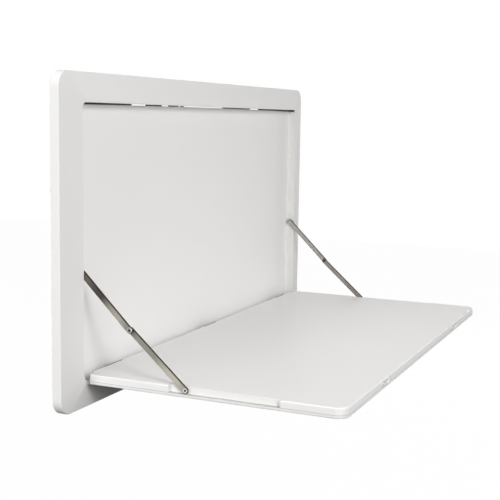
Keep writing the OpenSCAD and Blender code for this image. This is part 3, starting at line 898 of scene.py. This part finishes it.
@dataclass(frozen=True)
class ScrewKind:
    """A pan-head screw with a cross recess, repeated by geometry nodes."""

    head_radius: float = 2.9 * MM
    head_height: float = 1.4 * MM
    crown_share: float = 0.35
    flat_share: float = 0.78
    shank_radius: float = 1.5 * MM
    recess_share: float = 1.1
    recess_width: float = 0.75 * MM
    recess_depth: float = 0.8 * MM
    sides: int = 32

    def screws(self, node: str, way: HeadWay, body: str) -> Piece:
        """Makes a screw at each solid of a CAD node.

        Args:
            node: The CAD node of screws.
            way: The way that their heads look.
            body: The CAD body that they ride on.

        Returns:
            The screws as one piece.
        """
        places, size = seats(node, way)
        length = size.y if way is HeadWay.BACK else size.z
        sizes = {
            "Head radius": self.head_radius,
            "Head height": self.head_height,
            "Shank radius": self.shank_radius,
            "Shank length": length - self.head_height,
            "Recess width": self.recess_width,
            "Recess depth": self.recess_depth,
        }
        pattern = Pattern(node + "_turned", way, PLATED_STEEL, sizes)
        piece = pattern.placed(self._form(pattern), places)
        return dress(piece, PLATED_STEEL, body, node)

    def _form(self, pattern: Pattern) -> Wire:
        """Adds one screw, with its head's top at height 0.

        Args:
            pattern: The tree that it is added to.

        Returns:
            The screw.
        """
        radius = pattern.given("Head radius")
        height = pattern.given("Head height")
        shank = pattern.given("Shank length")
        width = pattern.given("Recess width")
        crown = height * self.crown_share
        sockets = {
            "Vertices": self.sides,
            "Radius Top": radius * self.flat_share,
            "Radius Bottom": radius,
            "Depth": crown,
        }
        dome = pattern.tree.wire("GeometryNodeMeshCone", "Mesh", sockets)
        rim = pattern.bar(radius, height - crown, height * -1.0, self.sides)
        screw = pattern.solid("UNION", {"Mesh 2": [pattern.moved(dome, crown * -1.0), rim]})
        low = shank * -1.0 - height
        rod = pattern.bar(pattern.given("Shank radius"), shank + crown, low, self.sides)
        screw = pattern.solid("UNION", {"Mesh 2": [screw, rod]})
        reach = radius * self.recess_share
        # The blocks stand on the head's top with their middle, so only half of each cuts
        depth = pattern.given("Recess depth") * 2.0
        for block in (pattern.block(reach, width, depth), pattern.block(width, reach, depth)):
            screw = pattern.solid("DIFFERENCE", {"Mesh 1": screw, "Mesh 2": block})
        return screw


@dataclass(frozen=True)
class InsertKind:
    """A knurled brass insert, repeated by geometry nodes."""

    ridges: int = 28
    ridge_width: float = 0.45 * MM
    ridge_share: float = 0.7
    bore_radius: float = 2.1 * MM
    bore_past: float = 0.25
    sides: int = 56
    bore_sides: int = 32

    def inserts(self, name: str, node: str, body: str) -> Piece:
        """Makes an insert at each solid of a CAD node.

        Args:
            name: The new piece's name.
            node: The CAD node of inserts.
            body: The CAD body that they ride on.

        Returns:
            The inserts as one piece.
        """
        places, size = seats(node, HeadWay.BACK)
        sizes = {
            "Radius": size.x / 2,
            "Length": size.y,
            "Bore radius": self.bore_radius,
            "Ridge width": self.ridge_width,
        }
        pattern = Pattern(name, HeadWay.BACK, TURNED_BRASS, sizes)
        tree = pattern.tree
        radius = pattern.given("Radius")
        length = pattern.given("Length")
        width = pattern.given("Ridge width")
        core = pattern.bar(radius - width * 0.5, length, length * -1.0, self.sides)
        bore = pattern.given("Bore radius")
        past = self.bore_past
        hole = pattern.bar(bore, length * (1 + 2 * past), length * -(1 + past), self.bore_sides)
        sockets = {"Vertices": self.ridges, "Radius": radius - width}
        ring = pattern.moved(tree.wire("GeometryNodeMeshCircle", 0, sockets), length * -0.5)
        ridge = pattern.block(width, width, length * self.ridge_share)
        sockets = {"Points": ring, "Instance": ridge}
        knurl = tree.wire("GeometryNodeInstanceOnPoints", 0, sockets)
        tube = pattern.solid("DIFFERENCE", {"Mesh 1": core, "Mesh 2": hole})
        insert = tree.wire("GeometryNodeJoinGeometry", 0, {0: [tube, knurl]})
        return dress(pattern.placed(insert, places), TURNED_BRASS, body, node)


@dataclass(frozen=True)
class CoilKind:
    """A pressed coil spring along Y, drawn by geometry nodes."""

    turns: float = 7.0
    wire_radius: float = 0.25 * MM
    wire_sides: int = 8
    steps: int = 24

    def coil(self, name: str, node: str, body: str) -> Piece:
        """Makes a spring in the place of a CAD node.

        Args:
            name: The new piece's name.
            node: The CAD node of the spring.
            body: The CAD body that it rides on.

        Returns:
            The spring.
        """
        low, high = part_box(node)
        middle = (low + high) / 2
        middle.y = low.y + self.wire_radius
        sizes = {
            "Radius": (high.x - low.x) / 2 - self.wire_radius,
            "Wire radius": self.wire_radius,
            "Length": high.y - low.y - 2 * self.wire_radius,
            "Turns": self.turns,
        }
        pattern = Pattern(name, HeadWay.BACK, SPRING_STEEL, sizes)
        tree = pattern.tree
        radius = pattern.given("Radius")
        helix = {
            "Resolution": self.steps,
            "Rotations": pattern.given("Turns"),
            "Start Radius": radius,
            "End Radius": radius,
            "Height": pattern.given("Length"),
        }
        section = {"Resolution": self.wire_sides, "Radius": pattern.given("Wire radius")}
        line = {
            "Curve": tree.wire("GeometryNodeCurveSpiral", 0, helix),
            "Profile Curve": tree.wire("GeometryNodeCurvePrimitiveCircle", "Curve", section),
            "Fill Caps": True,
        }
        tube = tree.wire("GeometryNodeCurveToMesh", 0, line)
        return dress(pattern.placed(tube, [middle]), SPRING_STEEL, body, node)


@dataclass
class WallSurround:
    """The frame on the wall, with its panel, its slotted rail and its fixings."""

    lip_edge: EdgeBreak = EdgeBreak(0.9 * MM, 3, band=8.5 * MM, behind=0.3)
    panel_edge: EdgeBreak = EdgeBreak(0.4 * MM)
    rail_edge: EdgeBreak = EdgeBreak(0.2 * MM)
    keeper_edge: EdgeBreak = EdgeBreak(0.25 * MM)
    body: str = "frame"
    screw: ScrewKind = ScrewKind()
    insert: InsertKind = InsertKind()

    def build(self) -> list[Piece]:
        """Builds and dresses the surround's pieces.

        Returns:
            The new pieces.
        """
        pieces = [
            softened("wall_frame", "surround", self.lip_edge, FRAME_WHITE, self.body),
            softened("back_panel", "recess_panel", self.panel_edge, PANEL_WHITE, self.body),
            # The rail's near-black colour is painted shade for the hollow behind the slot
            softened("strike_rail", "slot_rail", self.rail_edge, SHADE_DARK_PLASTIC, self.body),
        ]
        for node in ("panel_screws", "rail_screws", "hinge_block_screws"):
            pieces.append(self.screw.screws(node, HeadWay.BACK, self.body))
        pieces.append(self.insert.inserts("knurled_inserts", "threaded_inserts", self.body))
        for side in Side:
            node = f"{side.word}_strike"
            name = f"{side.word}_keeper"
            pieces.append(softened(node, name, self.keeper_edge, PLATED_STEEL, self.body))
        return pieces


@dataclass
class HingeRow:
    """The three hinges between frame and table."""

    places: tuple[str, ...] = ("left", "centre", "right")
    edge: EdgeBreak = EdgeBreak(0.25 * MM)

    def build(self) -> list[Piece]:
        """Builds the blocks, leaves and pins.

        Returns:
            The new pieces.
        """
        pieces = []
        for place in self.places:
            block = f"hinge_block_{place}"
            leaf = f"table_leaf_{place}"
            pieces.append(softened(block, f"hinge_seat_{place}", self.edge, FRAME_WHITE, "frame"))
            pieces.append(softened(leaf, f"hinge_leaf_{place}", self.edge, LEAF_PAINT, "table"))
        pieces.append(softened("hinge_pins", "pivot_rods", self.edge, PLATED_STEEL, "frame"))
        return pieces


@dataclass
class TableLeaf:
    """The table itself: two shells, their core and their screws."""

    shell_edge: EdgeBreak = EdgeBreak(0.45 * MM)
    core_edge: EdgeBreak = EdgeBreak(0.5 * MM)
    body: str = "table"
    screw: ScrewKind = ScrewKind()

    def build(self) -> list[Piece]:
        """Builds the shells, the core and the screws.

        Returns:
            The new pieces.
        """
        pieces = [
            softened("table_top", "top_shell", self.shell_edge, TABLE_WHITE, self.body),
            softened("table_base", "base_shell", self.shell_edge, TABLE_WHITE, self.body),
            softened("table_core", "foam_core", self.core_edge, WHITE_FOAM, self.body),
        ]
        for node in ("table_screws", "table_leaf_screws"):
            pieces.append(self.screw.screws(node, HeadWay.DOWN, self.body))
        return pieces


@dataclass
class FoldingStay:
    """One stay: two brushed arms and the rivets, washers and stud at their joints."""

    side: Side
    arm_width: float = 9.5 * MM
    arm_edge: EdgeBreak = EdgeBreak(0.35 * MM)
    arm_roughness: float = 0.36
    washer_edge: EdgeBreak = EdgeBreak(0.2 * MM)
    turned_edge: EdgeBreak = EdgeBreak(0.15 * MM)
    rivet_roughness: float = 0.3
    head_mm: float = 1.0
    shank_mm: float = 2.2
    ease_mm: float = 0.15
    # Points of the middle rivet's head: how far in from its rim and down from its top
    rim_mm: Outline = ((0.1, 1.0), (0.0, 0.85), (0.15, 0.45), (0.8, 0.08), (1.5, 0.0))
    # Points of its dimple: the radius and how far down from the head's top
    dimple_mm: Outline = ((1.95, 0.08), (1.6, 0.5), (0.0, 0.6))
    upper_seed: float = 21.0
    lower_seed: float = 24.0

    def build(self) -> list[Piece]:
        """Builds the stay's pieces.

        Returns:
            The new pieces.
        """
        word = self.side.word
        pieces = [self._arm("upper", self.upper_seed), self._arm("lower", self.lower_seed)]
        pieces.append(self._middle_rivet())
        pieces.append(self._hollow_end("table_rivet", BRIGHT_RIVET, "table"))
        for part, body in (("wall_washer", "frame"), ("table_washer", "table")):
            node = f"{word}_{part}"
            pieces.append(softened(node, f"{node}_disc", self.washer_edge, PLATED_STEEL, body))
        pieces.append(self._hollow_end("stay_stud", BRIGHT_RIVET, "frame"))
        pieces.append(self._hollow_end("rivet_tail", DARK_TAIL, f"{word}_lower"))
        return pieces

    def _arm(self, part: str, seed: float) -> Piece:
        """Builds one arm.

        Args:
            part: Which arm it is, "upper" or "lower".
            seed: The seed of its brushing.

        Returns:
            The arm.
        """
        word = self.side.word
        node = f"{word}_{part}_arm"
        steel = BrushedBar(
            f"brushed_{part}_{word}",
            "stay_steel",
            STAY_STEEL,
            self.arm_roughness,
            seed=seed,
            node=node,
            half_width=self.arm_width / 2,
            bands=PAINTED_REFLECTION_BANDS[self.side, part],
        )
        return softened(node, f"{word}_{part}_bar", self.arm_edge, steel, f"{word}_{part}")

    def _middle_rivet(self) -> Piece:
        """Builds the domed rivet at the middle joint, with a dimple in its head.

        Returns:
            The rivet.
        """
        word = self.side.word
        node = f"{word}_middle_rivet"
        low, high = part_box(node)
        start = (low + high) / 2
        start.x = low.x if self.side is Side.RIGHT else high.x
        head = (high.z - low.z) / 2 / MM
        top = (high.x - low.x) / MM
        outline = (
            (0.0, 0.0),
            (self.shank_mm - self.ease_mm, 0.0),
            (self.shank_mm, self.ease_mm),
            (self.shank_mm, top - self.head_mm),
            *((head - inset, top - drop) for inset, drop in self.rim_mm),
            *((radius, top - drop) for radius, drop in self.dimple_mm),
        )
        piece = turned(f"{node}_domed", outline, start, Vector((self.side.value, 0, 0)))
        return dress(piece, self._hollow(node, DULL_RIVET), f"{word}_upper", node)

    def _hollow_end(self, part: str, colour: Colour, body: str) -> Piece:
        """Builds a rivet or stud with a hollow end.

        Args:
            part: The last words of its CAD node's name.
            colour: The colour of its rim.
            body: The CAD body that it rides on.

        Returns:
            The piece.
        """
        node = f"{self.side.word}_{part}"
        finish = self._hollow(node, colour)
        return softened(node, f"{node}_turned", self.turned_edge, finish, body)

    def _hollow(self, node: str, colour: Colour) -> HollowRivet:
        """Returns the finish of a hollow rivet, with the colour of its rim."""
        name = f"{node}_finish"
        return HollowRivet(name, "pin_steel", colour, self.rivet_roughness, node=node)


@dataclass
class SpringLatch:
    """One spring catch in the table's front edge."""

    side: Side
    case_edge: EdgeBreak = EdgeBreak(0.3 * MM)
    nose_edge: EdgeBreak = EdgeBreak(0.45 * MM, 3)
    spring: CoilKind = CoilKind()

    def build(self) -> list[Piece]:
        """Builds the housing, the bolt and the spring.

        Returns:
            The new pieces.
        """
        latch = f"{self.side.word}_latch"
        bolt = f"{self.side.word}_bolt"
        return [
            softened(f"{latch}_housing", f"{latch}_case", self.case_edge, LATCH_WHITE, "table"),
            softened(f"{latch}_bolt", f"{latch}_nose", self.nose_edge, LATCH_WHITE, bolt),
            self.spring.coil(f"{latch}_coil", f"{latch}_spring", "table"),
        ]


@dataclass(frozen=True)
class PhotoCamera:
    """The camera at the photograph's viewing angle."""

    place: Point = (-1.6556, -0.8340, 0.1857)
    yaw: float = 1.154833
    pitch: float = 0.129758
    roll: float = 0.015740
    focal_px: float = 1005.17
    frame_px: float = 500.0
    sensor_mm: float = 36.0

    def build(self) -> None:
        """Creates the camera and makes it the scene's own."""
        data = bpy.data.cameras.new("photo_camera")
        data.sensor_width = self.sensor_mm
        data.lens = self.focal_px / self.frame_px * self.sensor_mm
        camera = bpy.data.objects.new("photo_camera", data)
        bpy.context.scene.collection.objects.link(camera)
        flat = math.cos(self.pitch)
        ahead = (math.sin(self.yaw) * flat, math.cos(self.yaw) * flat, -math.sin(self.pitch))
        forward = Vector(ahead)
        right = Vector((math.cos(self.yaw), -math.sin(self.yaw), 0))
        up = right.cross(forward)
        across = right * math.cos(self.roll) + up * math.sin(self.roll)
        upward = up * math.cos(self.roll) - right * math.sin(self.roll)
        turn = Matrix((across, upward, -forward)).transposed().to_4x4()
        camera.matrix_world = Matrix.Translation(Vector(self.place)) @ turn
        bpy.context.scene.camera = camera


@dataclass(frozen=True)
class SoftBox:
    """One large square lamp aimed at a point."""

    name: str
    place: Point
    power: float
    size: float
    aim: Point = (0.0, -0.15, -0.08)
    in_gloss: bool = True

    def build(self) -> None:
        """Creates the lamp."""
        data = bpy.data.lights.new(self.name, "AREA")
        data.shape = "SQUARE"
        data.size = self.size
        data.energy = self.power
        lamp = bpy.data.objects.new(self.name, data)
        bpy.context.scene.collection.objects.link(lamp)
        lamp.location = self.place
        way = Vector(self.aim) - Vector(self.place)
        lamp.rotation_euler = way.to_track_quat("-Z", "Y").to_euler()
        lamp.visible_glossy = self.in_gloss


@dataclass
class Studio:
    """The pale floor, the white surroundings and the lamps."""

    floor_height: float = -0.9
    floor_size: float = 14.0
    floor_light: Colour = (0.05, 0.05, 0.05)
    floor_seen: Colour = (0.9, 0.9, 0.9)
    floor_glow: float = 0.985
    near_floor: float = 1.4
    near_gloss: float = 0.1
    floor_fade: float = 0.9
    lamps: tuple[SoftBox, ...] = (
        SoftBox("left_low", (-2.515, -3.147, 0.752), 30.0, 1.2),
        SoftBox("front_low", (-0.679, -4.003, 0.752), 27.0, 1.2),
        SoftBox("left_high", (-2.27, -2.856, 1.798), 82.5, 1.2),
        SoftBox("right_low", (2.879, -2.566, 1.288), 9.0, 1.2),
        SoftBox("right_side", (3.75, -0.6, 0.35), 40.0, 1.2, in_gloss=False),
        SoftBox("rear_left", (-2.4, 0.7, 0.1), 30.5, 1.0, (-0.47, -0.01, 0.0), False),
        SoftBox("rear_top", (-1.2, 1.2, 2.8), 29.9, 1.5, (-0.1, -0.25, -0.2)),
        SoftBox("top", (0.2, 0.1, 3.6), 21.0, 2.0, (-0.1, -0.25, -0.2)),
    )

    def build(self) -> None:
        """Creates the floor, the world and the lamps."""
        bpy.context.scene.view_settings.view_transform = "Standard"
        half = self.floor_size / 2
        corners = [(-half, -half), (half, -half), (half, half), (-half, half)]
        mesh = bpy.data.meshes.new("pale_floor")
        mesh.from_pydata([(x, y, self.floor_height) for x, y in corners], [], [(0, 1, 2, 3)])
        mesh.materials.append(self._floor_finish())
        linked("pale_floor", mesh)
        self._world()
        for lamp in self.lamps:
            lamp.build()

    def _floor_finish(self) -> bpy.types.Material:
        """Builds the floor's material, white to the camera with a faint shadow left on it.

        Returns:
            The material.
        """
        made = bpy.data.materials.new("pale_floor")
        made.use_nodes = True
        tree = NodeTree(made.node_tree)
        far = (tree.length(tree.spot()) - self.near_floor).rise(self.floor_fade)
        gloss = far * (1 - self.near_gloss) + self.near_gloss
        camera = tree.wire("ShaderNodeLightPath", "Is Camera Ray")
        tone = tree.blend(camera, self.floor_light, self.floor_seen)
        matt = tree.wire("ShaderNodeBsdfDiffuse", 0, {"Color": tone})
        white = tree.wire("ShaderNodeEmission", 0, {"Color": rgba(WHITE)})
        share = self._seen(tree, gloss) * self.floor_glow
        mixed = tree.wire("ShaderNodeMixShader", 0, {0: share, 1: matt, 2: white})
        tree.node("ShaderNodeOutputMaterial", {"Surface": mixed})
        return made

    @staticmethod
    def _seen(tree: NodeTree, gloss: Wire | float = 1.0) -> Wire:
        """Adds a value of 1 for what is looked at and 0 for what only gives light.

        Args:
            tree: The tree of the floor or the world.
            gloss: How much of it shows in a gloss.

        Returns:
            The share that is shown white.
        """
        camera = tree.wire("ShaderNodeLightPath", "Is Camera Ray")
        through = tree.wire("ShaderNodeLightPath", "Is Transmission Ray")
        mirrored = tree.wire("ShaderNodeLightPath", "Is Glossy Ray")
        return camera.at_least(through).at_least(mirrored * gloss)

    def _world(self) -> None:
        """Makes the world white where it is looked at, and leaves it dark as a light."""
        world = bpy.data.worlds.new("studio")
        bpy.context.scene.world = world
        world.use_nodes = True
        tree = NodeTree(world.node_tree)
        white = tree.wire("ShaderNodeBackground", 0, {"Color": rgba(WHITE)})
        mixed = tree.wire("ShaderNodeMixShader", 0, {0: self._seen(tree), 2: white})
        tree.node("ShaderNodeOutputWorld", {"Surface": mixed})


def main() -> None:
    """Builds the camera, the studio and every sub-assembly in order."""
    logging.basicConfig(level=logging.INFO, format="%(name)s: %(message)s")
    PhotoCamera().build()
    Studio().build()
    groups = [WallSurround(), HingeRow(), TableLeaf()]
    groups += [FoldingStay(side) for side in Side]
    groups += [SpringLatch(side) for side in Side]
    for group in groups:
        pieces = group.build()
        LOG.info("%s: %d pieces", type(group).__name__, len(pieces))


if __name__ == "__main__":
    main()
